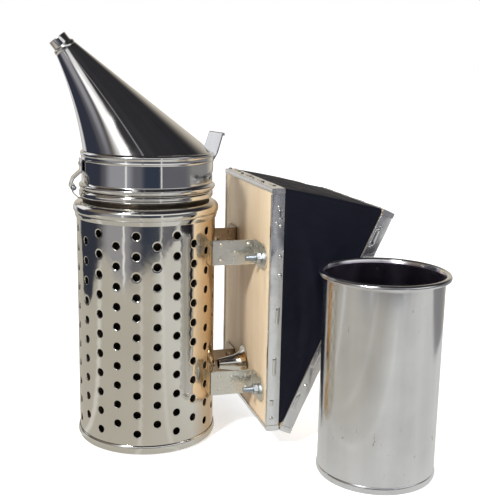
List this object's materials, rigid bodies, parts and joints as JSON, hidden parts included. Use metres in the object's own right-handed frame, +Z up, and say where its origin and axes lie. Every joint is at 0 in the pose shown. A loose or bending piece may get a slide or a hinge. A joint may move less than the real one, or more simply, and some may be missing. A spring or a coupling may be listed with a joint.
{
  "type": "bee smoker",
  "caption": "Bee smoker with a perforated heat shield, a hinged lid with a slanted spout, wedge bellows on straps and a loose inner can.",
  "frame": {"origin": "middle of the base pan's underside, on the ground", "axes": "+Z up, +X towards the bellows, -X the way the spout leans, -Y the side the loose can stands on"},
  "size_m": [0.2753, 0.2324, 0.3217],
  "materials": {
    "polished_steel": "mirror-polished stainless steel",
    "grate_steel": "plain steel, heat darkened",
    "strap_steel": "bright cold-rolled strip",
    "zinc": "bright zinc plating",
    "tinplate": "thin tinplate",
    "wood": "sanded pale softwood, not varnished",
    "cover": "black leatherette with a fine grain",
    "spring_steel": "drawn wire",
    "flap_leather": "soft split leather"
  },
  "bodies": {
    "smoker_body": {"base_pan": "polished_steel", "heat_shield": "polished_steel", "shoulder_ring": "polished_steel", "fire_pot": "polished_steel", "air_inlet": "polished_steel", "lid_hinge_pot_leaf": "polished_steel", "lid_hinge_pin": "polished_steel", "air_nozzle": "polished_steel", "fire_grate": "grate_steel", "strap_upper_near": "strap_steel", "strap_upper_far": "strap_steel", "strap_lower_near": "strap_steel", "strap_lower_far": "strap_steel", "bolt_upper_near": "zinc", "bolt_upper_far": "zinc", "bolt_lower_near": "zinc", "bolt_lower_far": "zinc", "nut_upper_near": "zinc", "nut_upper_far": "zinc", "nut_lower_near": "zinc", "nut_lower_far": "zinc", "front_strip_near": "tinplate", "front_strip_far": "tinplate", "front_strip_top": "tinplate", "front_strip_foot": "tinplate", "front_board": "wood", "bellows_cover": "cover", "bellows_spring": "spring_steel"},
    "lid": {"lid_cap": "polished_steel", "spout_cone": "polished_steel", "spout_tube": "polished_steel", "thumb_tab": "polished_steel", "lid_hinge_lid_leaf": "polished_steel"},
    "back_board": {"back_board": "wood", "back_strip_near": "tinplate", "back_strip_far": "tinplate", "back_strip_top": "tinplate", "back_strip_foot": "tinplate", "flap_bar": "tinplate"},
    "intake_flap": {"intake_flap": "flap_leather"},
    "inner_can": {"can_wall": "polished_steel", "can_floor": "polished_steel"}
  },
  "joints": [
    {"name": "lid_hinge", "type": "hinge", "parent": "smoker_body", "child": "lid", "pos_m": [-0.0578, 0, 0.2053], "axis": [0, -1, 0], "range_deg": [0, 110]},
    {"name": "bellows_squeeze", "type": "hinge", "parent": "smoker_body", "child": "back_board", "pos_m": [0.0946, 0, 0.0169], "axis": [0, -1, 0], "range_deg": [0, 16], "stiffness_Nm_per_rad": 3, "springref_deg": -14.32, "deforming": ["bellows_cover", "bellows_spring"]},
    {"name": "intake_flap_hinge", "type": "hinge", "parent": "back_board", "child": "intake_flap", "pos_m": [0.13517, 0, 0.10721], "axis": [0, 1, 0], "range_deg": [0, 14]},
    {"name": "can_lift", "type": "slide", "parent": "smoker_body", "child": "inner_can", "axis": [0, 0, 1], "range_m": [0, 0.2]}
  ]
}
